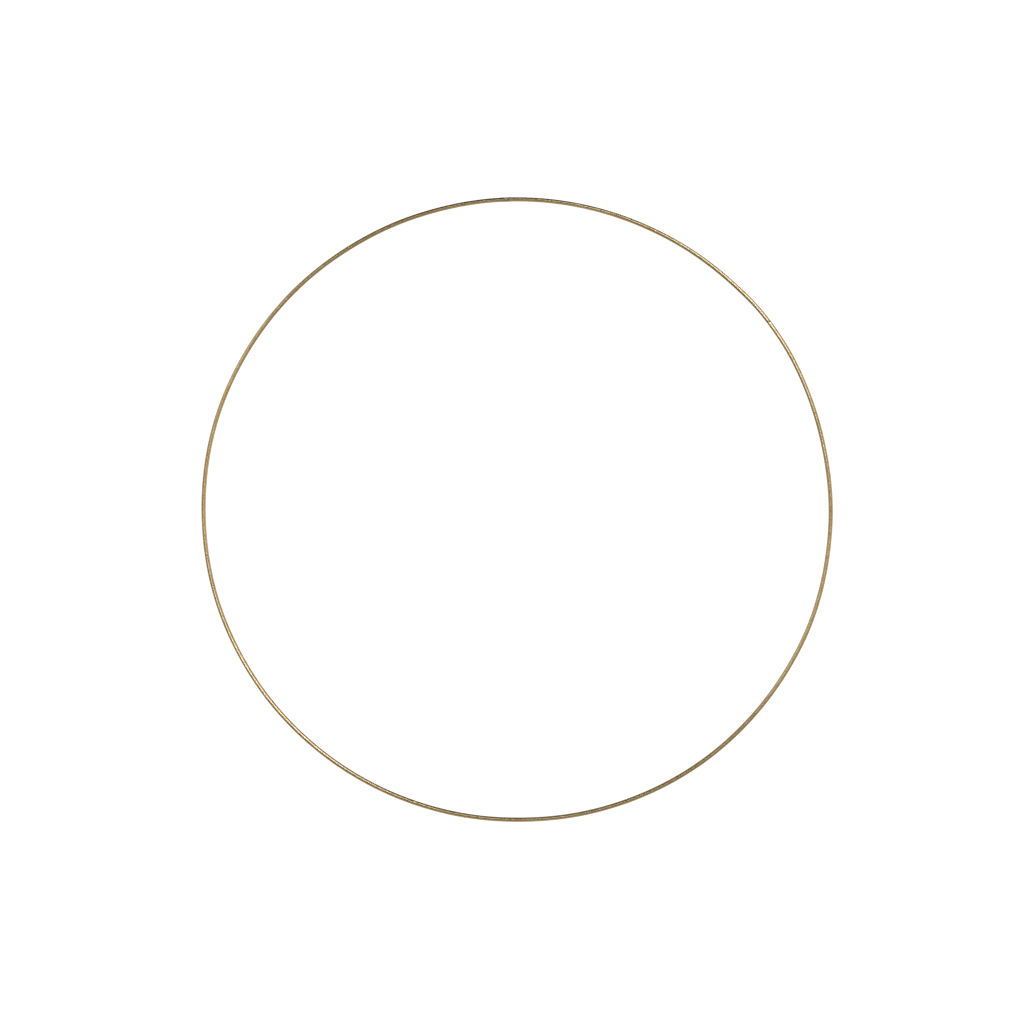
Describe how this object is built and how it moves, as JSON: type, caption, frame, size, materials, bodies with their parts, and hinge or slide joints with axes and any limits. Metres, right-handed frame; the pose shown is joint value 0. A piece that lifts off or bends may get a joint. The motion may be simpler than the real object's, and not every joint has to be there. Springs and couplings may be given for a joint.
{
  "type": "wreath frame",
  "caption": "Round wreath frame: thin brass-finished wire bent into a plain closed ring with a butt-welded joint, for binding greenery and hanging.",
  "frame": {"origin": "centre of the ring, on the plane that the ring rests on when it lies flat", "axes": "+Z is normal to the ring's plane, +Y runs from the centre to the welded joint, which is the top when the frame hangs, and +X runs to the right of it"},
  "size_m": [0.3, 0.3001, 0.002],
  "materials": {
    "brass_finish": "drawn steel wire, brass plated and clear lacquered, satin, slightly aged",
    "bare_weld": "bare ground weld metal, dull grey"
  },
  "bodies": {
    "root": {"wire_ring": "brass_finish", "joint_weld": "bare_weld"}
  },
  "joints": []
}
